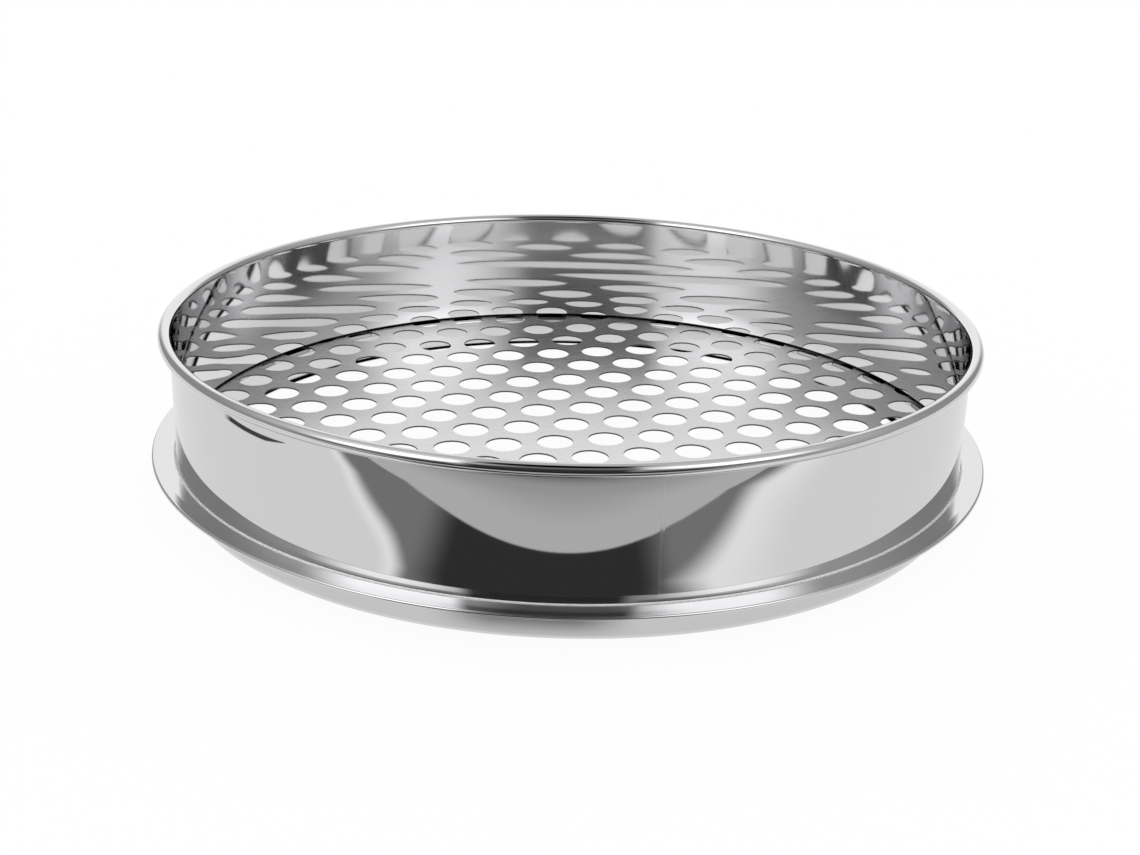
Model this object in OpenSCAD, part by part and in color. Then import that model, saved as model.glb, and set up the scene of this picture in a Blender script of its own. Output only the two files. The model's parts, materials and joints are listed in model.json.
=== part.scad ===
// Round pan sieve: a rolled frame with a curled rim, a punched plate and a nesting ring below,
// held together by the frame's folded flange. Origin: centre of the ring's bottom edge, +Z up.

/* [Frame] */
// Inside diameter of the frame's wall
frame_bore = 297.8; // [200:0.1:400]
// Thickness of the frame's strip
frame_sheet = 0.5; // [0.4:0.1:0.8]
// Height of the rim's top above the flange
wall_h = 47.8; // [30:0.1:90]
// Outside diameter of the curl along the rim
curl_od = 4.8; // [3.5:0.1:7]
// Gap between the curl's cut edge and the wall
curl_gap = 0.4; // [0.2:0.1:0.8]
// Radius of the bend between wall and flange, on its hollow side
frame_bend_r = 0.8; // [0.6:0.1:2]
// Reach of the flange outside the wall
flange_w = 9.0; // [8:0.1:16]
// Width of the lip that the fold turns back under the flange
lip_w = 2.4; // [1.5:0.1:2.8]

/* [Sieve plate] */
// Thickness of the punched plate
plate_sheet = 0.6; // [0.4:0.1:1.2]
// Diameter of the punched holes
hole_d = 14.0; // [4:0.5:16]
// Distance between the centres of neighbouring holes
hole_pitch = 20.0; // [18:0.5:30]
// Turn of the rows of holes about the middle
row_angle = 12.4; // [0:0.1:60]
// Sideways place of the hole nearest the middle
hole_shift_x = 1.0; // [-5:0.1:5]
// Front to back place of the hole nearest the middle
hole_shift_y = 6.6; // [-8:0.1:8]
// Width of the plate's edge that is clamped outside the wall
plate_grip_w = 4.0; // [3:0.1:4.2]

/* [Nesting ring] */
// Thickness of the ring's strip
ring_sheet = 0.5; // [0.4:0.1:0.8]
// Height of the ring's flange above its bottom edge
skirt_h = 11.3; // [8:0.1:30]
// Gap between the ring and the bore of a like frame that it nests in
nest_gap = 1.4; // [0.4:0.1:2.5]
// Radius of the bend between the ring and its flange, on its hollow side
ring_bend_r = 1.0; // [0.6:0.1:1.5]
// Width of the step that lifts the ring's flange past the plate's edge
step_w = 1.0; // [0.6:0.1:1.2]
// Gap between the plate's edge and the step
plate_edge_gap = 0.3; // [0.1:0.1:0.4]

/* [Welds] */
// Width of the butt weld in each strip
weld_w = 0.8; // [0.5:0.1:2]
// Direction of the frame's weld, from the right-hand side
frame_weld_angle = -78.6; // [-180:0.1:180]
// Direction of the ring's weld, from the right-hand side
ring_weld_angle = 101; // [-180:1:180]

/* [Hidden] */
$fn = 96;
// How far a cutting shape runs past what it cuts
overrun = 1.0;

// Frame, from the axis outwards
wall_in = frame_bore / 2;
wall_out = wall_in + frame_sheet;
flange_out = wall_out + flange_w;
frame_bend_out = frame_bend_r + frame_sheet;
frame_bend_x = wall_out + frame_bend_r;

// Levels of the clamped stack, from the floor up
plate_z = skirt_h + ring_sheet;
flange_z = plate_z + plate_sheet;
flange_top = flange_z + frame_sheet;
total_h = flange_top + wall_h;

// Fold: the flange turns round the ring's raised edge and back beneath it
fold_in = ring_sheet / 2;
fold_out = fold_in + frame_sheet;
fold_x = flange_out - fold_out;
fold_z = flange_z - fold_in;
lip_z = fold_z - fold_out;

// Curl along the rim
curl_r = curl_od / 2;
curl_x = wall_in + curl_r;
curl_z = total_h - curl_r;
curl_open = 2 * asin(sqrt((frame_sheet + curl_gap) / curl_od));

// Nesting ring
ring_out = wall_in - nest_gap;
ring_in = ring_out - ring_sheet;
ring_bend_out = ring_bend_r + ring_sheet;
ring_bend_x = ring_out + ring_bend_r;
plate_r = wall_out + plate_grip_w;
step_in = plate_r + plate_edge_gap;
step_out = step_in + step_w;

// Steps along the two directions of the rows of holes
row_step = hole_pitch * cos(row_angle);
row_rise = hole_pitch * sin(row_angle);
next_step = hole_pitch * cos(row_angle + 60);
next_rise = hole_pitch * sin(row_angle + 60);
rows = ceil(2 * plate_r / hole_pitch / sqrt(3)) + 1;
function hole_at(i, j) = [
    hole_shift_x + i * row_step + j * next_step,
    hole_shift_y + i * row_rise + j * next_rise
];
hole_places = [
    for (i = [-2 * rows : 2 * rows])
        for (j = [-rows : rows])
            if (norm(hole_at(i, j)) < plate_r + hole_d / 2) hole_at(i, j)
];

// One quarter of a bent strip's section, whose hollow side faces the quarter's corner
module quarter_bend(inner_r, outer_r, turn) {
    intersection() {
        difference() {
            circle(r = outer_r);
            circle(r = inner_r);
        }
        rotate(turn) square(outer_r);
    }
}

// The curl's section: it starts along the wall, goes over the top and stops short of the wall below
module curl_section() {
    difference() {
        circle(r = curl_r);
        circle(r = curl_r - frame_sheet);
        intersection() {
            rotate(180) square(curl_od);
            rotate(180 + curl_open - 90) square(curl_od);
        }
    }
}

module frame_section() {
    translate([curl_x, curl_z]) curl_section();
    translate([wall_in, flange_top + frame_bend_r])
        square([frame_sheet, curl_z - flange_top - frame_bend_r]);
    translate([frame_bend_x, flange_top + frame_bend_r])
        quarter_bend(frame_bend_r, frame_bend_out, 180);
    translate([frame_bend_x, flange_z]) square([fold_x - frame_bend_x, frame_sheet]);
    translate([fold_x, fold_z]) quarter_bend(fold_in, fold_out, 0);
    translate([fold_x, fold_z]) quarter_bend(fold_in, fold_out, -90);
    translate([fold_x - lip_w, lip_z]) square([lip_w, frame_sheet]);
}

module ring_section() {
    translate([ring_in, 0]) square([ring_sheet, skirt_h - ring_bend_r]);
    translate([ring_bend_x, skirt_h - ring_bend_r])
        quarter_bend(ring_bend_r, ring_bend_out, 90);
    translate([ring_bend_x, skirt_h]) square([step_in - ring_bend_x, ring_sheet]);
    polygon([
        [step_in, skirt_h],
        [step_out, flange_z - ring_sheet],
        [step_out, flange_z],
        [step_in, plate_z]
    ]);
    translate([step_out, flange_z - ring_sheet]) square([fold_x - step_out, ring_sheet]);
}

// The gap across a strip where its two ends meet, which the weld fills
module weld_slot(turn) {
    rotate(turn)
        translate([ring_in - overrun, -weld_w / 2, -overrun])
            cube([flange_out - ring_in + 2 * overrun, weld_w, total_h + 2 * overrun]);
}

module upper_frame() {
    color("gainsboro")
        difference() {
            rotate_extrude() frame_section();
            weld_slot(frame_weld_angle);
        }
}

module frame_weld() {
    color("silver")
        intersection() {
            rotate_extrude() frame_section();
            weld_slot(frame_weld_angle);
        }
}

module perforated_plate() {
    color("lightgray")
        difference() {
            translate([0, 0, plate_z]) cylinder(r = plate_r, h = plate_sheet);
            for (place = hole_places)
                translate([place[0], place[1], plate_z - overrun])
                    cylinder(d = hole_d, h = plate_sheet + 2 * overrun);
        }
}

module lower_ring() {
    color("gainsboro")
        difference() {
            rotate_extrude() ring_section();
            weld_slot(ring_weld_angle);
        }
}

module ring_weld() {
    color("silver")
        intersection() {
            rotate_extrude() ring_section();
            weld_slot(ring_weld_angle);
        }
}

upper_frame();
frame_weld();
perforated_plate();
lower_ring();
ring_weld();
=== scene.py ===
# Round pan sieve in stainless steel: a rolled frame with a curled rim and a folded flange,
# a punched plate clamped in the fold, and a nesting ring below, in a plain white studio.
import json
import math
import bpy
from mathutils import Euler, Matrix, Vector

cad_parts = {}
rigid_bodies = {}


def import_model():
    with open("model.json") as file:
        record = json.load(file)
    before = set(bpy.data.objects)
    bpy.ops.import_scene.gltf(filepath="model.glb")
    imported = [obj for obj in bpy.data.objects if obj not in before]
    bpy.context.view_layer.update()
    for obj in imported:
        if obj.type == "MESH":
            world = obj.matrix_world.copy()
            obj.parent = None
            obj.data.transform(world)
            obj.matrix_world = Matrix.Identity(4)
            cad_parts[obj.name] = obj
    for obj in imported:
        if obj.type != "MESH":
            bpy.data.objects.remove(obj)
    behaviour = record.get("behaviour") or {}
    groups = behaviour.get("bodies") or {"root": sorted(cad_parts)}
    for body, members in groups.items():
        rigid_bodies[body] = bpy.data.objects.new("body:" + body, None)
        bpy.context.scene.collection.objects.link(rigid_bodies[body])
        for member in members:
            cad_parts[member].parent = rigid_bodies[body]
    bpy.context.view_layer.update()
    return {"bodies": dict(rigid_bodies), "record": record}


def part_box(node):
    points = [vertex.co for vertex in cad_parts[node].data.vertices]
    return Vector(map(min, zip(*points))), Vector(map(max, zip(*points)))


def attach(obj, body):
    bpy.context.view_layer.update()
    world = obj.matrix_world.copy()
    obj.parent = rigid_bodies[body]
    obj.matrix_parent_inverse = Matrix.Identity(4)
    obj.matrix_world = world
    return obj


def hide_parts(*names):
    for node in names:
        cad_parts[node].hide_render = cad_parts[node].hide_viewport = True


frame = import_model()
body = list(frame["bodies"])[0]
mounts = {mount["name"]: mount for mount in frame["record"]["mounts"]}


def mm(value):
    return value / 1000


def tint(hexColour):        # sRGB hex to the linear colour that a shader wants
    linear = []
    for i in (1, 3, 5):
        shade = int(hexColour[i:i + 2], 16) / 255
        linear.append(shade / 12.92 if shade <= 0.04045 else ((shade + 0.055) / 1.055) ** 2.4)
    return (*linear, 1.0)


# Sizes that all the pieces share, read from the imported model
wallIn = mm(mounts["frame_socket"]["dims"]["r_mm"])
ringOut = mm(mounts["nesting_spigot"]["dims"]["r_mm"])
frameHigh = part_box("upper_frame")[1]
plateLow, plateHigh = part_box("perforated_plate")
flangeOut = frameHigh[0]
rimTop = frameHigh[2]
plateOut = plateHigh[1]
plateTop = plateHigh[2]
plateUnder = plateLow[2]
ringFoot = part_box("lower_ring")[0][2]


# Edit mode, the same for all the pieces

def deselectAll():
    bpy.ops.object.select_all(action="DESELECT")


def makeActive(piece):
    deselectAll()
    piece.select_set(True)
    bpy.context.view_layer.objects.active = piece


def applyModifiers(piece):
    makeActive(piece)
    for modifier in list(piece.modifiers):
        bpy.ops.object.modifier_apply(modifier=modifier.name)


def freezePlace(piece):
    makeActive(piece)
    bpy.ops.object.transform_apply(location=True, rotation=True, scale=True)


# Sheet metal: the middle line of a strip is drawn in the XZ plane with one moving vertex,
# spun about the sieve's axis, and given its thickness to both sides
deburring = {
    "segments": 2,
    "sharperThan": 60,        # degrees at an edge, from which it is rounded
}
# The facets next to a cut end narrow to these shares of the others, so that reflections run on over the weld
endShares = (0.125, 0.25, 0.5)


def startLine(x, z):
    deselectAll()
    bpy.ops.mesh.primitive_plane_add(size=mm(1), location=(0, 0, 0))
    bpy.ops.object.mode_set(mode="EDIT")
    bpy.ops.mesh.select_all(action="SELECT")
    bpy.ops.mesh.merge(type="CENTER")
    bpy.ops.transform.translate(value=(x, 0, z))
    return bpy.context.object


def runLine(dx, dz):
    bpy.ops.mesh.extrude_vertices_move(TRANSFORM_OT_translate={"value": (dx, 0, dz)})


def turnLine(centreX, centreZ, degrees, steps):        # positive turns from +Z towards +X
    bpy.ops.mesh.spin(steps=steps, angle=-math.radians(degrees), center=(centreX, 0, centreZ), axis=(0, 1, 0))


def sweepLine(steps, degrees):
    bpy.ops.mesh.spin(steps=steps, angle=-math.radians(degrees), center=(0, 0, 0), axis=(0, 0, 1))


def rollStrip(name, drawLine, thickness, fromDegrees, sweepDegrees, steps, edgeRound):
    piece = drawLine()
    piece.name = name
    bpy.ops.mesh.select_all(action="SELECT")
    widest = sweepDegrees / (steps + 2 * sum(endShares))
    for share in endShares:
        sweepLine(1, share * widest)
    sweepLine(steps, steps * widest)
    for share in reversed(endShares):
        sweepLine(1, share * widest)
    bpy.ops.mesh.select_all(action="SELECT")
    bpy.ops.mesh.normals_make_consistent(inside=False)
    bpy.ops.object.mode_set(mode="OBJECT")
    wall = piece.modifiers.new("sheet", "SOLIDIFY")
    wall.thickness = thickness
    wall.offset = 0
    wall.use_even_offset = True
    makeActive(piece)
    bpy.ops.object.shade_smooth()
    rounding = piece.modifiers.new("deburred", "BEVEL")
    rounding.width = edgeRound
    rounding.segments = deburring["segments"]
    rounding.limit_method = "ANGLE"
    rounding.angle_limit = math.radians(deburring["sharperThan"])
    rounding.harden_normals = True
    shine = piece.modifiers.new("evenShine", "WEIGHTED_NORMAL")
    shine.mode = "FACE_AREA"        # flat stretches shine flat up to their bends
    applyModifiers(piece)
    piece.rotation_euler.z = math.radians(fromDegrees)
    freezePlace(piece)
    return piece


def rollAndWeld(stripName, weldName, drawLine, strip, seam, radius):        # a strip and the weld in its gap
    gap = math.degrees(seam["width"] / radius)
    rolled = rollStrip(stripName, drawLine, strip["sheet"], seam["azimuth"] + gap / 2,
                       360 - gap, strip["steps"], strip["edgeRound"])
    weld = rollStrip(weldName, drawLine, strip["sheet"] + seam["proud"], seam["azimuth"] - gap / 2,
                     gap, seam["steps"], seam["edgeRound"])
    return rolled, weld


# Frame
frameStrip = {
    "sheet": mm(0.5),         # thickness of the strip
    "curlDiameter": mm(4.8),  # outside diameter of the rim's curl
    "curlGap": mm(0.4),       # between the curl's cut edge and the wall
    "bendRadius": mm(0.8),    # between wall and flange, on the hollow side
    "lip": mm(2.4),           # how far the fold comes back
    "foldGap": mm(0.5),       # the ring's sheet that the fold closes on
    "dish": mm(3.2),          # width of the flange's outer zone, which rises to the fold
    "dishRise": mm(0.18),
    "dishShares": (0.15, 0.70, 0.15),
    "footTurn": 6.5,          # degrees by which the wall's foot still leans out above the bend
    "footHeight": mm(6.5),    # and the height over which that fades
    "leanFrom": mm(9),        # this far below the curl's middle the wall starts to lean in
    "lean": mm(0.2),          # and this is how far it has come in where the curl starts
    "foldSteps": 14,          # facets of each stretch of the section
    "bendSteps": 10,
    "footSteps": 12,
    "wallSteps": 4,
    "leanSteps": 10,
    "curlSteps": 44,
    "steps": 320,             # facets round the sieve
    "edgeRound": mm(0.03),    # rounding of the cut edges
}
frameSeam = {
    "azimuth": -78.6,         # degrees from the right-hand side
    "width": mm(0.8),
    "proud": mm(0.004),       # how much thicker the ground weld is than the strip
    "steps": 2,
    "edgeRound": mm(0.02),
}


def drawFrameLine():        # from the fold's cut edge over flange and wall to the curl's cut edge
    strip = frameStrip
    half = strip["sheet"] / 2
    flangeMid = plateTop + half
    bendMid = strip["bendRadius"] + half
    foldMid = strip["foldGap"] / 2 + half
    foldX = flangeOut - strip["foldGap"] / 2 - strip["sheet"]
    foldZ = plateTop - strip["foldGap"] / 2 + strip["dishRise"]
    line = startLine(foldX - strip["lip"], foldZ - foldMid)
    runLine(strip["lip"], 0)
    turnLine(foldX, foldZ, -180, strip["foldSteps"])
    for share in strip["dishShares"]:
        runLine(-strip["dish"] * share, -strip["dishRise"] * share)
    turn = math.radians(strip["footTurn"])
    footStep = strip["footHeight"] / strip["footSteps"]
    footTurns = [turn * (1 - (step + 0.5) / strip["footSteps"]) for step in range(strip["footSteps"])]
    footRuns = [footStep * math.tan(footTurn) for footTurn in footTurns]
    bendX = wallIn + half + sum(footRuns) + bendMid * math.cos(turn)
    runLine(bendX + strip["dish"] - foldX, 0)
    turnLine(bendX, flangeMid + bendMid, 90 - strip["footTurn"], strip["bendSteps"])
    for footRun in footRuns:
        runLine(-footRun, footStep)
    curlR = strip["curlDiameter"] / 2
    footTop = flangeMid + bendMid * (1 - math.sin(turn)) + strip["footHeight"]
    straight = rimTop - curlR - strip["leanFrom"] - footTop
    for step in range(strip["wallSteps"]):
        runLine(0, straight / strip["wallSteps"])
    for step in range(strip["leanSteps"]):
        before = step / strip["leanSteps"]
        after = (step + 1) / strip["leanSteps"]
        runLine(-strip["lean"] * (after ** 2 - before ** 2), strip["leanFrom"] / strip["leanSteps"])
    curlCut = math.degrees(math.asin(math.sqrt((strip["sheet"] + strip["curlGap"]) / strip["curlDiameter"])))
    turnLine(wallIn - strip["lean"] + curlR, rimTop - curlR, 360 - 2 * curlCut, strip["curlSteps"])
    return line


print("frame")
upperFrame, frameWeld = rollAndWeld("upperFrame", "frameWeld", drawFrameLine, frameStrip, frameSeam, wallIn)

# Nesting ring
ringStrip = {
    "sheet": mm(0.5),
    "bendRadius": mm(1.0),    # between skirt and flange, on the hollow side
    "stepWidth": mm(1.0),     # the rise of the flange past the plate's edge
    "plateEdgeGap": mm(0.3),
    "skirtSteps": 3,          # facets of each stretch of the section
    "bendSteps": 10,
    "steps": 320,             # facets round the ring
    "edgeRound": mm(0.03),
}
ringSeam = {
    "azimuth": 101,
    "width": mm(0.8),
    "proud": mm(0.004),
    "steps": 2,
    "edgeRound": mm(0.02),
}


def drawRingLine():        # from the skirt's bottom edge to the flange's edge inside the fold
    strip = ringStrip
    half = strip["sheet"] / 2
    skirtMid = ringOut - half
    flangeMid = plateUnder - half
    bendMid = strip["bendRadius"] + half
    stepIn = plateOut + strip["plateEdgeGap"]
    edge = flangeOut - frameStrip["foldGap"] / 2 - frameStrip["sheet"]
    line = startLine(skirtMid, ringFoot)
    for step in range(strip["skirtSteps"]):
        runLine(0, (flangeMid - bendMid - ringFoot) / strip["skirtSteps"])
    turnLine(skirtMid + bendMid, flangeMid - bendMid, 90, strip["bendSteps"])
    runLine(stepIn - skirtMid - bendMid, 0)
    runLine(strip["stepWidth"], plateTop - plateUnder)
    runLine(edge - stepIn - strip["stepWidth"], 0)
    return line


print("ring")
lowerRing, ringWeld = rollAndWeld("lowerRing", "ringWeld", drawRingLine, ringStrip, ringSeam, ringOut)

# Sieve plate: a disc cut from sheet that copies of one punched hexagon make up
sievePlate = {
    "holeDiameter": mm(14),
    "pitch": mm(20),
    "rowAngle": 12.4,         # degrees between the rows of holes and the right-hand side
    "shiftX": mm(1.0),        # place of the hole nearest the middle
    "shiftY": mm(6.6),
    "dieRoll": mm(0.12),      # how far the punched edges are rounded over
    "rollSegments": 2,
    "sharperThan": 50,        # degrees at an edge, from which it is rounded
    "sideFacets": 8,          # facets of a hole to each side of its hexagon
    "edgeFacets": 288,        # facets round the plate
    "weldWithin": mm(0.01),   # hexagon corners closer than this become one
    "dieDepth": 4,            # times the sheet's thickness
}


def cellPlaces():        # middles of the hexagons that the rows of holes divide the sheet into
    pitch = sievePlate["pitch"]
    first = math.radians(sievePlate["rowAngle"])
    second = first + math.radians(60)
    reach = math.ceil(2 * plateOut / pitch) + 1
    for i in range(-2 * reach, 2 * reach + 1):
        for j in range(-reach, reach + 1):
            x = sievePlate["shiftX"] + pitch * (i * math.cos(first) + j * math.cos(second))
            y = sievePlate["shiftY"] + pitch * (i * math.sin(first) + j * math.sin(second))
            if math.hypot(x, y) < plateOut + pitch / math.sqrt(3):
                yield x, y


def punchCell():        # one hexagon of sheet whose inner edge is drawn in to a round hole
    corner = sievePlate["pitch"] / math.sqrt(3)
    turn = math.radians(sievePlate["rowAngle"])
    deselectAll()
    bpy.ops.mesh.primitive_circle_add(vertices=6, radius=corner, fill_type="NOTHING",
                                      location=(0, 0, plateTop), rotation=(0, 0, turn))
    cell = bpy.context.object
    freezePlace(cell)
    bpy.ops.object.mode_set(mode="EDIT")
    bpy.ops.mesh.select_all(action="SELECT")
    bpy.ops.mesh.subdivide(number_cuts=sievePlate["sideFacets"] - 1)
    bpy.ops.mesh.extrude_edges_move()
    bpy.ops.transform.tosphere(value=1)
    bpy.ops.object.mode_set(mode="OBJECT")
    inner = [vertex.co.xy.length for vertex in cell.data.vertices if vertex.select]
    shrink = sievePlate["holeDiameter"] / 2 * len(inner) / sum(inner)
    bpy.ops.object.mode_set(mode="EDIT")
    bpy.ops.transform.resize(value=(shrink, shrink, 1), center_override=(0, 0, plateTop))
    bpy.ops.object.mode_set(mode="OBJECT")
    return cell


def punchSheet():        # the punched hexagons joined into one sheet, with no thickness yet
    cell = punchCell()
    copies = []
    for x, y in cellPlaces():
        copy = cell.copy()
        copy.data = cell.data.copy()
        copy.location.x = x
        copy.location.y = y
        bpy.context.collection.objects.link(copy)
        copies.append(copy)
    deselectAll()
    for copy in copies:
        copy.select_set(True)
    bpy.context.view_layer.objects.active = copies[0]
    bpy.ops.object.join()
    sheet = bpy.context.object
    freezePlace(sheet)
    bpy.ops.object.mode_set(mode="EDIT")
    bpy.ops.mesh.select_all(action="SELECT")
    bpy.ops.mesh.remove_doubles(threshold=sievePlate["weldWithin"])
    bpy.ops.mesh.normals_make_consistent(inside=False)
    bpy.ops.object.mode_set(mode="OBJECT")
    bpy.data.objects.remove(cell)
    return sheet


def cutPlate():        # the sheet in its thickness, cut to the disc, with its edges rolled over
    thickness = plateTop - plateUnder
    piece = punchSheet()
    piece.name = "sievePlate"
    gauge = piece.modifiers.new("gauge", "SOLIDIFY")
    gauge.thickness = thickness
    gauge.offset = -1
    deselectAll()
    bpy.ops.mesh.primitive_cylinder_add(vertices=sievePlate["edgeFacets"], radius=plateOut,
                                        depth=thickness * sievePlate["dieDepth"], location=(0, 0, plateTop))
    die = bpy.context.object
    freezePlace(die)
    blank = piece.modifiers.new("blanked", "BOOLEAN")
    blank.operation = "INTERSECT"
    blank.solver = "EXACT"
    blank.object = die
    makeActive(piece)
    bpy.ops.object.shade_smooth()
    roll = piece.modifiers.new("dieRoll", "BEVEL")
    roll.width = sievePlate["dieRoll"]
    roll.segments = sievePlate["rollSegments"]
    roll.limit_method = "ANGLE"
    roll.angle_limit = math.radians(sievePlate["sharperThan"])
    roll.harden_normals = True
    applyModifiers(piece)
    bpy.data.objects.remove(die)
    return piece


print("plate")
plate = cutPlate()

# Nodes: one function adds them, and the materials' few formulas are built on it
plus = {"operation": "ADD"}
minus = {"operation": "SUBTRACT"}
times = {"operation": "MULTIPLY"}
timesPlus = {"operation": "MULTIPLY_ADD"}
larger = {"operation": "MAXIMUM"}
unit = {"operation": "NORMALIZE"}
softEnds = {"interpolation_type": "SMOOTHSTEP"}
ofColours = {"data_type": "RGBA"}


def newMaterial(name):
    material = bpy.data.materials.new(name)
    material.use_nodes = True
    material.node_tree.nodes.clear()
    return material, material.node_tree


# Each input is given a value, another node's socket, or a node, which stands for its first output
def addNode(tree, kind, settings=None, inputs=None):
    node = tree.nodes.new("ShaderNode" + kind)
    for key, value in (settings or {}).items():
        setattr(node, key, value)
    for key, value in (inputs or {}).items():
        if isinstance(value, bpy.types.Node):
            value = value.outputs[0]
        if isinstance(value, bpy.types.NodeSocket):
            tree.links.new(value, node.inputs[key])
        else:
            node.inputs[key].default_value = value
    return node


def overlap(tree, *shares):        # full only where every one of them is
    product = shares[0]
    for share in shares[1:]:
        product = addNode(tree, "Math", times, {0: product, 1: share})
    return product


def span(tree, value, start, full, fade, end):        # 0 up to start, 1 from full to fade, and 0 from end on
    rising = addNode(tree, "MapRange", softEnds, {"Value": value, "From Min": start, "From Max": full})
    falling = addNode(tree, "MapRange", softEnds, {"Value": value, "From Min": end, "From Max": fade})
    return overlap(tree, rising, falling)


def scaled(tree, value, share, factor):        # the value, times a factor where the share is full
    factor = addNode(tree, "Mix", inputs={"Factor": share, "A": 1.0, "B": factor})
    return addNode(tree, "Math", times, {0: value, 1: factor})


print("materials")
# Stainless strip, rolled, bent and then polished round: a mirror that is a little wavy, with faint streaks
# round it. The hollow above the plate is painted near black, a painted shade, and the bend over the flange is
# stretched matt and painted whiter, a painted highlight
polish = {
    "steels": {               # the weld is ground flush and polished over
        "polishedStainless": {"colour": "#D9D9DA", "roughness": 0.03},
        "semiPolishedStainless": {"colour": "#D6D6D7", "roughness": 0.12},
        "groundWeld": {"colour": "#DCDCDD", "roughness": 0.06},
    },
    "streak": mm(1.2),        # width of the polishing streaks
    "streakScale": (0.04, 0.04, 1),        # which run round the strip
    "smoothest": 0.8,         # roughness in the streaks, times the steel's own
    "roughest": 1.25,
    "wave": mm(0.02),         # height of the slow waves that rolling leaves
    "waveLength": mm(70),
    "insideSoft": 0.1,        # how softly the inside's finish starts
    "insideDull": 1.3,        # the inside is rougher than the outside, times
    "grooveShade": (-mm(0.2), -mm(0.1), mm(0.9), mm(1.1)),        # heights above the plate: start, full, fade, end
    # painted shade in the hollow where the wall meets the plate: a near-black colour
    "grooveShadeColour": "#18181A",
    "bend": (-mm(0.1), mm(0.05), mm(0.4), mm(0.55)),        # the same above the flange
    "bendEnd": mm(2.0),       # how far from the bore the matt line with its painted highlight ends, and from where it fades
    "bendFade": mm(1.5),
    # the bend's painted highlight: a colour whiter than the steel, over its real matt finish
    "bendHighlightColour": "#FFFFFF",
    "bendRough": 0.6,
}


def rolledSteel(name):
    steel = polish["steels"][name]
    material, tree = newMaterial(name)
    place = addNode(tree, "TexCoord").outputs["Object"]
    drawn = addNode(tree, "Mapping", inputs={"Vector": place, "Scale": polish["streakScale"]})
    streaks = addNode(tree, "TexNoise", inputs={"Vector": drawn, "Scale": 1 / polish["streak"], "Detail": 2})
    rough = addNode(tree, "MapRange", inputs={
        "Value": streaks,
        "To Min": steel["roughness"] * polish["smoothest"],
        "To Max": steel["roughness"] * polish["roughest"]})
    waves = addNode(tree, "TexNoise", inputs={
        "Vector": place, "Scale": 1 / polish["waveLength"], "Detail": 0})
    bump = addNode(tree, "Bump", inputs={"Height": waves, "Strength": 1.0, "Distance": polish["wave"]})

    flat = addNode(tree, "VectorMath", times, {0: place, 1: (1, 1, 0)})
    outward = addNode(tree, "VectorMath", unit, {0: flat})
    outAndUp = addNode(tree, "VectorMath", plus, {0: outward, 1: (0, 0, 1)})
    facing = addNode(tree, "NewGeometry").outputs["True Normal"]
    outer = addNode(tree, "VectorMath", {"operation": "DOT_PRODUCT"}, {0: facing, 1: outAndUp})
    inside = addNode(tree, "MapRange", softEnds, {
        "Value": outer.outputs["Value"], "From Min": 0, "From Max": -polish["insideSoft"]})
    outside = addNode(tree, "Math", minus, {0: 1.0, 1: inside})

    height = addNode(tree, "SeparateXYZ", inputs={0: place}).outputs["Z"]
    abovePlate = addNode(tree, "Math", minus, {0: height, 1: plateTop})
    aboveFlange = addNode(tree, "Math", minus, {0: abovePlate, 1: frameStrip["sheet"]})
    radius = addNode(tree, "VectorMath", {"operation": "LENGTH"}, {0: flat}).outputs["Value"]
    byWall = addNode(tree, "MapRange", softEnds, {
        "Value": radius, "From Min": wallIn + polish["bendEnd"], "From Max": wallIn + polish["bendFade"]})
    # mask of the painted shade in the hollow above the plate, on the inside
    grooveShade = overlap(tree, span(tree, abovePlate, *polish["grooveShade"]), inside)
    # the bend: matt in its roughness, and a painted highlight in its colour
    bend = overlap(tree, span(tree, aboveFlange, *polish["bend"]), byWall, outside)

    dull = scaled(tree, rough, inside, polish["insideDull"])
    dull = addNode(tree, "Mix", inputs={"Factor": bend, "A": dull, "B": polish["bendRough"]})
    # the painted shade darkens the steel's colour in the hollow
    shade = addNode(tree, "Mix", ofColours, {
        "Factor": grooveShade, "A": tint(steel["colour"]), "B": tint(polish["grooveShadeColour"])})
    # the painted highlight whitens the steel's colour along the bend
    shade = addNode(tree, "Mix", ofColours, {
        "Factor": bend, "A": shade.outputs["Result"], "B": tint(polish["bendHighlightColour"])})
    metal = addNode(tree, "BsdfPrincipled", inputs={
        "Metallic": 1.0, "Base Color": shade.outputs["Result"], "Roughness": dull, "Normal": bump})
    addNode(tree, "OutputMaterial", inputs={"Surface": metal})
    return material


# Stainless sheet as it comes from the mill: fine grain one way, so a dull glow that is smeared across the
# grain. The punched edges are darker and duller
satin = {
    "colour": "#F4F4F5",
    "cutColour": "#5E5E60",
    "roughness": 0.28,
    "cutRough": 0.45,
    "smeared": 0.8,           # anisotropy
    "grain": mm(0.9),         # width of the grain, coarser than the real one so that it shows
    "grainScale": (0.08, 1, 1),        # which runs along X
    "smoothest": 0.9,         # roughness in the grain, times the sheet's own
    "roughest": 1.1,
    "cutFrom": 0.75,          # how level a face is where the cut edges' finish starts
    "cutFull": 0.35,          # and where it is full
}


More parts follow.
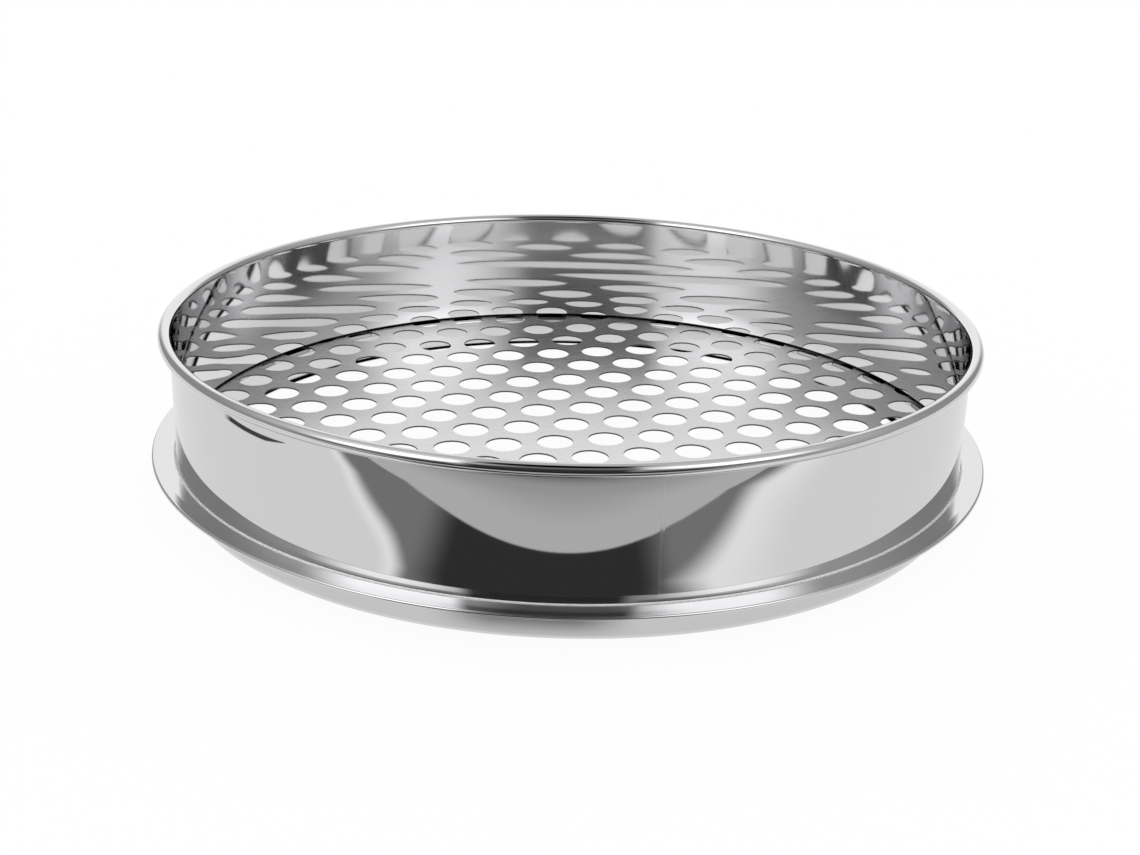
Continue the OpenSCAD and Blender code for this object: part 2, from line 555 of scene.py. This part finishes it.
def satinSteel(name):
    material, tree = newMaterial(name)
    place = addNode(tree, "TexCoord").outputs["Object"]
    drawn = addNode(tree, "Mapping", inputs={"Vector": place, "Scale": satin["grainScale"]})
    grain = addNode(tree, "TexNoise", inputs={"Vector": drawn, "Scale": 1 / satin["grain"], "Detail": 3})
    rough = addNode(tree, "MapRange", inputs={
        "Value": grain,
        "To Min": satin["roughness"] * satin["smoothest"],
        "To Max": satin["roughness"] * satin["roughest"]})
    facing = addNode(tree, "NewGeometry").outputs["True Normal"]
    upright = addNode(tree, "SeparateXYZ", inputs={0: facing}).outputs["Z"]
    level = addNode(tree, "Math", {"operation": "ABSOLUTE"}, {0: upright})
    cut = addNode(tree, "MapRange", softEnds, {
        "Value": level, "From Min": satin["cutFrom"], "From Max": satin["cutFull"]})
    shade = addNode(tree, "Mix", ofColours, {
        "Factor": cut, "A": tint(satin["colour"]), "B": tint(satin["cutColour"])})
    dull = addNode(tree, "Mix", inputs={"Factor": cut, "A": rough, "B": satin["cutRough"]})
    across = addNode(tree, "CombineXYZ", inputs={"Y": 1.0})        # light is smeared along Y
    metal = addNode(tree, "BsdfPrincipled", inputs={
        "Metallic": 1.0, "Base Color": shade.outputs["Result"], "Roughness": dull,
        "Anisotropic": satin["smeared"], "Tangent": across})
    addNode(tree, "OutputMaterial", inputs={"Surface": metal})
    return material


frameSteel = rolledSteel("polishedStainless")
ringSteel = rolledSteel("semiPolishedStainless")
weldSteel = rolledSteel("groundWeld")
plateSteel = satinSteel("satinPunchedStainless")

pieces = [
    (upperFrame, "upper_frame", "frame_steel", frameSteel),
    (frameWeld, "frame_weld", "weld_steel", weldSteel),
    (lowerRing, "lower_ring", "ring_steel", ringSteel),
    (ringWeld, "ring_weld", "weld_steel", weldSteel),
    (plate, "perforated_plate", "plate_steel", plateSteel),
]
for piece, node, slotName, material in pieces:
    piece.data.materials.clear()
    piece.data.materials.append(material)
    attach(piece, body)
    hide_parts(node)

# Studio: a white floor under a soft tent. The tent and the flags on the floor are seen only in the steel
print("studio")
studio = {
    "floorSize": 14.0,
    "skyLevel": 1.0,          # light from all round on the floor
    "floorWhite": 0.94,       # share of the floor that stays white in shadow
    "contactWhite": 0.2,      # and the same in the shade along the ring's inside
    # from the ring's inside face inwards that shade starts, is full, fades and ends
    "contact": (-mm(0.4), -mm(0.2), 0, mm(3.5)),
    "line": (-mm(0.4), -mm(0.2), mm(1.5), mm(2.25)),        # and so does the painted black shadow line right at its edge
    "underPlate": 0.78,       # what the steel shows of the floor below the plate, where less light arrives
    "underFrom": mm(8),       # this far in from the ring that starts, and here it is full
    "underFull": mm(45),
}


def whiteWhenSeen(tree, keep):        # 1 where a camera, glossy or transmission ray arrives, times keep
    path = addNode(tree, "LightPath")
    seen = addNode(tree, "Math", larger, {
        0: path.outputs["Is Camera Ray"], 1: path.outputs["Is Glossy Ray"]})
    seen = addNode(tree, "Math", larger, {0: seen, 1: path.outputs["Is Transmission Ray"]})
    return overlap(tree, seen, keep)


def whiteFloor():        # paper that stays white, with the shade where the ring stands on it and a painted black shadow line along the ring's inside
    material, tree = newMaterial("whiteFloor")
    place = addNode(tree, "TexCoord").outputs["Object"]
    radius = addNode(tree, "VectorMath", {"operation": "LENGTH"}, {0: place}).outputs["Value"]
    inward = addNode(tree, "Math", minus, {0: ringOut - ringStrip["sheet"], 1: radius})
    contact = span(tree, inward, *studio["contact"])
    keep = addNode(tree, "Mix", inputs={
        "Factor": contact, "A": studio["floorWhite"], "B": studio["contactWhite"]})
    # painted contact shadow: the paint, and what the steel sees of the floor, go black along the line
    offShadowLine = addNode(tree, "Math", minus, {0: 1.0, 1: span(tree, inward, *studio["line"])})
    paint = addNode(tree, "BsdfDiffuse", inputs={"Color": offShadowLine})
    below = addNode(tree, "MapRange", softEnds, {
        "Value": inward, "From Min": studio["underFrom"], "From Max": studio["underFull"]})
    under = overlap(tree, addNode(tree, "LightPath").outputs["Is Glossy Ray"], below)
    glow = addNode(tree, "Emission", inputs={
        "Color": tint("#FFFFFF"), "Strength": scaled(tree, offShadowLine, under, studio["underPlate"])})
    both = addNode(tree, "MixShader", inputs={0: whiteWhenSeen(tree, keep), 1: paint, 2: glow})
    addNode(tree, "OutputMaterial", inputs={"Surface": both})
    return material


deselectAll()
bpy.ops.mesh.primitive_plane_add(size=studio["floorSize"], location=(0, 0, 0))
floor = bpy.context.object
floor.name = "studioFloor"
floor.data.materials.append(whiteFloor())

world = bpy.data.worlds.new("studioWorld")
bpy.context.scene.world = world
world.use_nodes = True
sky = world.node_tree
sky.nodes.clear()
allRound = addNode(sky, "Background", inputs={"Color": tint("#FFFFFF"), "Strength": studio["skyLevel"]})
white = addNode(sky, "Background", inputs={"Color": tint("#FFFFFF"), "Strength": 1.0})
both = addNode(sky, "MixShader", inputs={0: whiteWhenSeen(sky, 1.0), 1: allRound, 2: white})
addNode(sky, "OutputWorld", inputs={"Surface": both})

# Tent: azimuths are from the right-hand side, rises above the floor, and full and reach the degrees around
# them within which something is full and from which it is gone
tent = {
    "radius": 5.0,
    "segments": 64,
    "rings": 32,
    "sides": 0.34,            # grey of the tent's sides
    "ceiling": {"from": 28, "full": 60, "level": 0.60},        # rises between which the sides become it
    # the bright side behind the sieve, full up to the rise of its top
    "back": {"azimuth": 90, "full": 20, "reach": 37, "top": 30, "end": 56, "level": 1.08},
    "lights": [               # large soft lights high up to the left and right of the camera
        {"azimuth": -138, "rise": 36, "full": 10, "reach": 30, "level": 1.22},
        {"azimuth": -160, "rise": 50, "full": 8, "reach": 44, "level": 0.32},
        {"azimuth": -43, "rise": 35, "full": 9, "reach": 28, "level": 1.22},
        {"azimuth": -24, "rise": 34, "full": 8, "reach": 56, "level": 0.19},
    ],
    "camera": {"azimuth": -95, "full": 18, "reach": 24},        # the dark side behind the camera
    "widenFrom": 20,          # above this rise it gets wider
    "widen": 0.28,            # by this many degrees to each side for each degree of rise
    # what that side keeps of its light low down, in the middle and high up, and the rises between them
    "keep": {"low": 0.11, "from": 22, "middle": 0.42, "at": 46, "high": 0.02, "by": 64},
    "horizon": {              # darker low down on the camera's side, but not within the gap right behind it
        "azimuth": -95, "full": 50, "reach": 75, "gap": 20, "gapEnd": 26, "top": 12, "end": 20, "keep": 0.4},
    "top": {"azimuth": -93, "rise": 78, "full": 9, "reach": 19, "keep": 0.06},        # dark right overhead
}


def awayFrom(tree, direction, spot):        # degrees between a direction and the spot's azimuth and rise
    turn = math.radians(spot["azimuth"])
    up = math.radians(spot.get("rise", 0))
    aim = (math.cos(turn) * math.cos(up), math.sin(turn) * math.cos(up), math.sin(up))
    dot = addNode(tree, "VectorMath", {"operation": "DOT_PRODUCT"}, {0: direction, 1: aim})
    bound = addNode(tree, "Clamp", inputs={"Value": dot.outputs["Value"], "Min": -1.0, "Max": 1.0})
    angle = addNode(tree, "Math", {"operation": "ARCCOSINE"}, {0: bound})
    return addNode(tree, "Math", {"operation": "DEGREES"}, {0: angle})


def near(tree, direction, spot):        # 1 within the spot's full degrees of it, 0 from its reach on
    away = awayFrom(tree, direction, spot)
    return addNode(tree, "MapRange", softEnds, {
        "Value": away, "From Min": spot["reach"], "From Max": spot["full"]})


def tentCloth():        # white cloth with soft lights behind it and dark stuff hung before it
    material, tree = newMaterial("tentCloth")
    place = addNode(tree, "TexCoord").outputs["Object"]
    outward = addNode(tree, "VectorMath", unit, {0: place})
    height = addNode(tree, "SeparateXYZ", inputs={0: outward}).outputs["Z"]
    angle = addNode(tree, "Math", {"operation": "ARCSINE"}, {0: height})
    rise = addNode(tree, "Math", {"operation": "DEGREES"}, {0: angle})
    flat = addNode(tree, "VectorMath", times, {0: outward, 1: (1, 1, 0)})
    level = addNode(tree, "VectorMath", unit, {0: flat})

    bright = addNode(tree, "MapRange", softEnds, {
        "Value": rise, "From Min": tent["ceiling"]["from"], "From Max": tent["ceiling"]["full"],
        "To Min": tent["sides"], "To Max": tent["ceiling"]["level"]})
    low = addNode(tree, "MapRange", softEnds, {
        "Value": rise, "From Min": tent["back"]["end"], "From Max": tent["back"]["top"]})
    back = overlap(tree, near(tree, level, tent["back"]), low)
    bright = addNode(tree, "Mix", inputs={"Factor": back, "A": bright, "B": tent["back"]["level"]})
    for light in tent["lights"]:
        lit = near(tree, outward, light)
        bright = addNode(tree, "Math", timesPlus, {0: lit, 1: light["level"], 2: bright})

    keep = addNode(tree, "MapRange", softEnds, {
        "Value": rise, "From Min": tent["keep"]["from"], "From Max": tent["keep"]["at"],
        "To Min": tent["keep"]["low"], "To Max": tent["keep"]["middle"]})
    keep = addNode(tree, "MapRange", softEnds, {
        "Value": rise, "From Min": tent["keep"]["at"], "From Max": tent["keep"]["by"],
        "To Min": keep, "To Max": tent["keep"]["high"]})
    higher = addNode(tree, "Math", minus, {0: rise, 1: tent["widenFrom"]})
    higher = addNode(tree, "Math", larger, {0: higher, 1: 0.0})
    wider = addNode(tree, "Math", times, {0: higher, 1: tent["widen"]})
    aside = addNode(tree, "Math", minus, {0: awayFrom(tree, level, tent["camera"]), 1: wider})
    dark = addNode(tree, "MapRange", softEnds, {
        "Value": aside, "From Min": tent["camera"]["reach"], "From Max": tent["camera"]["full"]})
    bright = scaled(tree, bright, dark, keep)

    low = addNode(tree, "MapRange", softEnds, {
        "Value": rise, "From Min": tent["horizon"]["end"], "From Max": tent["horizon"]["top"]})
    beside = addNode(tree, "MapRange", softEnds, {
        "Value": awayFrom(tree, level, tent["horizon"]),
        "From Min": tent["horizon"]["gap"], "From Max": tent["horizon"]["gapEnd"]})
    horizon = overlap(tree, near(tree, level, tent["horizon"]), low, beside)
    bright = scaled(tree, bright, horizon, tent["horizon"]["keep"])
    bright = scaled(tree, bright, near(tree, outward, tent["top"]), tent["top"]["keep"])
    glow = addNode(tree, "Emission", inputs={"Color": tint("#FFFFFF"), "Strength": bright})
    addNode(tree, "OutputMaterial", inputs={"Surface": glow})
    return material


def onlyInGloss(card, material):
    material.cycles.emission_sampling = "NONE"
    card.data.materials.append(material)
    card.visible_camera = False
    card.visible_diffuse = False
    card.visible_transmission = False
    card.visible_volume_scatter = False
    card.visible_shadow = False


deselectAll()
bpy.ops.mesh.primitive_uv_sphere_add(segments=tent["segments"], ring_count=tent["rings"],
                                     radius=tent["radius"], location=(0, 0, 0))
dome = bpy.context.object
dome.name = "softTent"
bpy.ops.object.shade_smooth()
onlyInGloss(dome, tentCloth())

# Flag on the floor in front: what the outer wall shows as its dark waist and grey shield.
# Its places and widths are in millimetres, its azimuths as the tent's
floorFlag = {
    "lift": mm(0.2),
    "size": 9.0,
    "startRadius": 148.5,     # nothing nearer to the sieve than this
    "edgeSoft": 1,            # half the width over which that edge and the grey sheet's fade
    "footRadius": 168,        # inside this the floor is in the flange's shade, which the ring shows
    "footFloor": 0.80,
    "foot": {"azimuth": -94, "full": 5, "reach": 15, "level": 0.10},        # darkest in front
    "footRing": (144.5, 165, 169, 173),        # radii between which that is: start, full, fade, end
    "darkRadius": 176,        # nothing dark nearer than this
    "darkFull": 182,
    "floor": 0.86,            # what the polished wall shows of the floor round it
    "core": {"azimuth": -93.5, "full": 14.5, "reach": 22.5, "level": 0.035},        # the waist's dark middle
    "wings": 0.22,            # and the grey of its two ends
    # each end's edge runs along two lines, given by a point and a slope; a glow this wide lies along it
    "left": {"x": -77, "y": -165, "slope": 0.75, "farX": -105, "farY": -184, "farSlope": 0.14,
             "ownFrom": -10, "soft": 7, "glow": 8},
    "right": {"x": 50, "y": -174, "slope": -0.40, "farX": 146, "farY": -212, "farSlope": 0.12,
              "ownFrom": 10, "soft": 12, "glow": 40},
    "bend": 14,               # how gently the two lines of a wing's edge run into each other
    "glow": 0.17,             # the brighter floor along a wing's edge
    "farEdge": 213,           # where the dark band ends and the grey sheet starts, in the middle
    "farDrop": 11,            # and how much further out that edge is at the sides
    "farReach": 110,
    "sheet": {"near": 0.56, "far": 0.41, "from": 15, "to": 60},        # from its near edge outwards
    # dark beyond the sheet
    "ground": {"azimuth": -93.5, "full": 30, "reach": 46, "from": 275, "to": 330, "level": 0.015},
    # a thin dark wedge far to the left, from its point: start, full, fade and end along its length
    "sliver": {"x": -226.6, "y": -137.2, "lean": -0.335, "widen": 0.32, "widest": 8.5, "soft": 1,
               "length": (0, 3, 77, 92), "level": 0.06},
}


def lineThrough(tree, x, atX, atY, slope):        # its y over x
    return addNode(tree, "Math", timesPlus, {0: x, 1: slope, 2: atY - slope * atX})


def wing(tree, x, y, side):        # dark beyond two lines that run into each other, and the glow before them
    inner = lineThrough(tree, x, side["x"], side["y"], side["slope"])
    outer = lineThrough(tree, x, side["farX"], side["farY"], side["farSlope"])
    edge = addNode(tree, "Math", {"operation": "SMOOTH_MAX"}, {0: inner, 1: outer, 2: floorFlag["bend"]})
    past = addNode(tree, "Math", minus, {0: edge, 1: y})
    ownSide = addNode(tree, "MapRange", softEnds, {"Value": x, "From Min": 0, "From Max": side["ownFrom"]})
    dark = addNode(tree, "MapRange", softEnds, {
        "Value": past, "From Min": -side["soft"], "From Max": side["soft"]})
    glow = addNode(tree, "MapRange", softEnds, {
        "Value": past, "From Min": -side["soft"] - side["glow"], "From Max": -side["soft"] / 2})
    return overlap(tree, dark, ownSide), overlap(tree, glow, ownSide)


def nearFloor(tree, x, y, radius, ahead):        # the floor between the sieve and the grey sheet
    flag = floorFlag
    past = {"Value": radius, "From Min": flag["footRadius"], "From Max": flag["darkRadius"]}
    pastFoot = addNode(tree, "MapRange", softEnds, past)
    plain = addNode(tree, "MapRange", softEnds, {
        **past, "To Min": flag["footFloor"], "To Max": flag["floor"]})
    leftDark, leftGlow = wing(tree, x, y, flag["left"])
    rightDark, rightGlow = wing(tree, x, y, flag["right"])
    glow = addNode(tree, "Math", larger, {0: leftGlow, 1: rightGlow})
    plain = addNode(tree, "Math", timesPlus, {0: overlap(tree, glow, pastFoot), 1: flag["glow"], 2: plain})
    # painted shade of the floor under the flange, which the ring shows
    foot = overlap(tree, near(tree, ahead, flag["foot"]), span(tree, radius, *flag["footRing"]))
    plain = addNode(tree, "Mix", inputs={"Factor": foot, "A": plain, "B": flag["foot"]["level"]})
    core = near(tree, ahead, flag["core"])
    dark = addNode(tree, "Mix", inputs={"Factor": core, "A": flag["wings"], "B": flag["core"]["level"]})
    wings = addNode(tree, "Math", larger, {0: leftDark, 1: rightDark})
    waist = addNode(tree, "Math", larger, {0: wings, 1: core})
    farEnough = addNode(tree, "MapRange", softEnds, {
        "Value": radius, "From Min": flag["darkRadius"], "From Max": flag["darkFull"]})
    waist = overlap(tree, waist, farEnough)
    return addNode(tree, "Mix", inputs={"Factor": waist, "A": plain, "B": dark})


def farFloor(tree, grey, x, y, ahead):        # the grey sheet over that, and the dark ground beyond
    flag = floorFlag
    front = addNode(tree, "Math", times, {0: y, 1: -1.0})
    sideways = addNode(tree, "Math", {"operation": "ABSOLUTE"}, {0: x})
    edge = addNode(tree, "MapRange", softEnds, {
        "Value": sideways, "From Min": 0, "From Max": flag["farReach"],
        "To Min": flag["farEdge"], "To Max": flag["farEdge"] + flag["farDrop"]})
    beyond = addNode(tree, "Math", minus, {0: front, 1: edge})
    covered = addNode(tree, "MapRange", softEnds, {
        "Value": beyond, "From Min": -flag["edgeSoft"], "From Max": flag["edgeSoft"]})
    sheet = addNode(tree, "MapRange", softEnds, {
        "Value": beyond, "From Min": flag["sheet"]["from"], "From Max": flag["sheet"]["to"],
        "To Min": flag["sheet"]["near"], "To Max": flag["sheet"]["far"]})
    grey = addNode(tree, "Mix", inputs={"Factor": covered, "A": grey, "B": sheet})
    out = addNode(tree, "MapRange", softEnds, {
        "Value": front, "From Min": flag["ground"]["from"], "From Max": flag["ground"]["to"]})
    ground = overlap(tree, near(tree, ahead, flag["ground"]), out)
    return addNode(tree, "Mix", inputs={"Factor": ground, "A": grey, "B": flag["ground"]["level"]})


def sliver(tree, x, y):        # a wedge that starts at a point and leans
    wedge = floorFlag["sliver"]
    along = addNode(tree, "Math", minus, {0: y, 1: wedge["y"]})
    side = addNode(tree, "Math", timesPlus, {0: along, 1: wedge["lean"], 2: wedge["x"]})
    beside = addNode(tree, "Math", minus, {0: x, 1: side})
    width = addNode(tree, "Math", times, {0: along, 1: wedge["widen"]})
    width = addNode(tree, "Math", {"operation": "MINIMUM"}, {0: width, 1: wedge["widest"]})
    past = addNode(tree, "Math", minus, {0: beside, 1: width})
    fromSide = addNode(tree, "MapRange", softEnds, {
        "Value": beside, "From Min": -wedge["soft"], "From Max": 0})
    toSide = addNode(tree, "MapRange", softEnds, {
        "Value": past, "From Min": wedge["soft"], "From Max": 0})
    return overlap(tree, fromSide, toSide, span(tree, along, *wedge["length"]))


def flagFelt():        # felt and card in greys, with the floor's painted shade under the flange, clear where the sieve stands
    flag = floorFlag
    material, tree = newMaterial("flagFelt")
    metres = addNode(tree, "TexCoord").outputs["Object"]
    place = addNode(tree, "VectorMath", times, {0: metres, 1: (1000, 1000, 0)})
    split = addNode(tree, "SeparateXYZ", inputs={0: place})
    x = split.outputs["X"]
    y = split.outputs["Y"]
    radius = addNode(tree, "VectorMath", {"operation": "LENGTH"}, {0: place}).outputs["Value"]
    ahead = addNode(tree, "VectorMath", unit, {0: place})
    grey = nearFloor(tree, x, y, radius, ahead)
    grey = farFloor(tree, grey, x, y, ahead)
    grey = addNode(tree, "Mix", inputs={
        "Factor": sliver(tree, x, y), "A": grey, "B": flag["sliver"]["level"]})
    lit = addNode(tree, "Emission", inputs={"Color": tint("#FFFFFF"), "Strength": grey})
    clear = addNode(tree, "BsdfTransparent")
    start = flag["startRadius"]
    shown = addNode(tree, "MapRange", softEnds, {
        "Value": radius, "From Min": start - flag["edgeSoft"], "From Max": start + flag["edgeSoft"]})
    both = addNode(tree, "MixShader", inputs={0: shown, 1: clear, 2: lit})
    addNode(tree, "OutputMaterial", inputs={"Surface": both})
    return material


deselectAll()
bpy.ops.mesh.primitive_plane_add(size=floorFlag["size"], location=(0, 0, floorFlag["lift"]))
flagCard = bpy.context.object
flagCard.name = "floorFlag"
freezePlace(flagCard)
onlyInGloss(flagCard, flagFelt())

# Camera: solved from the rows of holes and the outlines of rim, flange and ring
print("camera")
view = {
    "place": (mm(0.5), mm(-616.3), mm(252.2)),
    "down": 21.17,         # degrees below the horizon
    "roll": 1.47,          # the photograph's right side hangs low
    "focal": 1693.8,       # in pixels of the photograph
    "imageWidth": 1140,    # the photograph's width in pixels
    "clipEnd": 100,
}
camera = bpy.data.cameras.new("photoCamera")
holder = bpy.data.objects.new("photoCamera", camera)
bpy.context.collection.objects.link(holder)
camera.sensor_fit = "HORIZONTAL"
camera.lens = view["focal"] * camera.sensor_width / view["imageWidth"]
camera.clip_end = view["clipEnd"]
holder.location = view["place"]
tilt = Euler((math.radians(90 - view["down"]), 0, 0)).to_matrix()
roll = Matrix.Rotation(math.radians(view["roll"]), 3, "Z")
holder.rotation_euler = (tilt @ roll).to_euler()
bpy.context.scene.camera = holder
bpy.context.scene.view_settings.view_transform = "Standard"

print("sizes")
